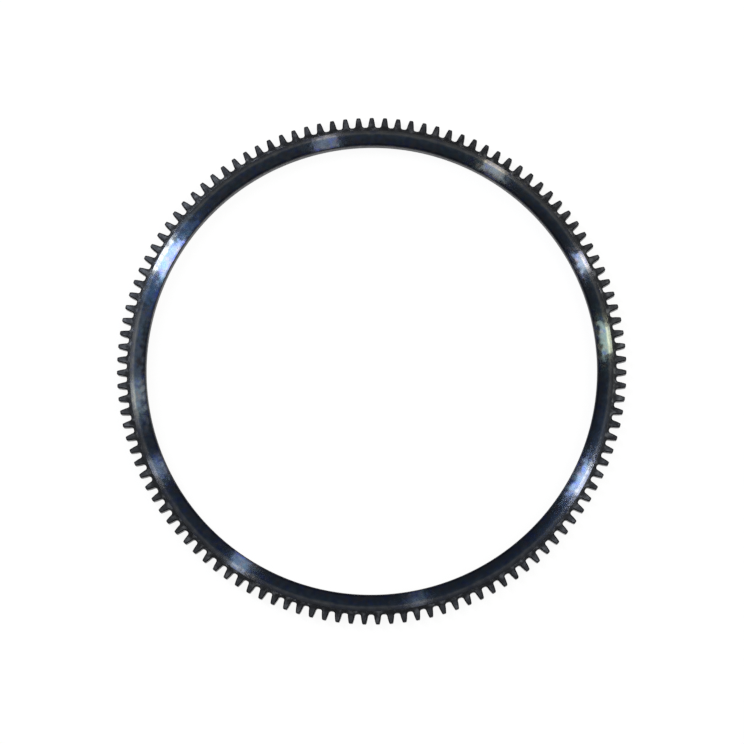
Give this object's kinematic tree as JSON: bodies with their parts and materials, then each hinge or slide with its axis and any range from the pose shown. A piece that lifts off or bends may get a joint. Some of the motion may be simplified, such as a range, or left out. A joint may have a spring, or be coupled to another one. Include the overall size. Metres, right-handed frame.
{
  "type": "flywheel ring gear",
  "caption": "Starter ring gear: a narrow flat steel ring with straight spur teeth round the outside, bevelled where the pinion enters, and a plain press-fit bore.",
  "frame": {"origin": "middle of the bore, on the flat seating face at the back of the ring", "axes": "+Z along the bore axis, towards the front face that the starter pinion enters; a tooth stands on +X"},
  "size_m": [0.3025, 0.3024, 0.01],
  "materials": {
    "blued_steel": "satin"
  },
  "bodies": {
    "root": {"ring_gear": "blued_steel"}
  },
  "joints": []
}
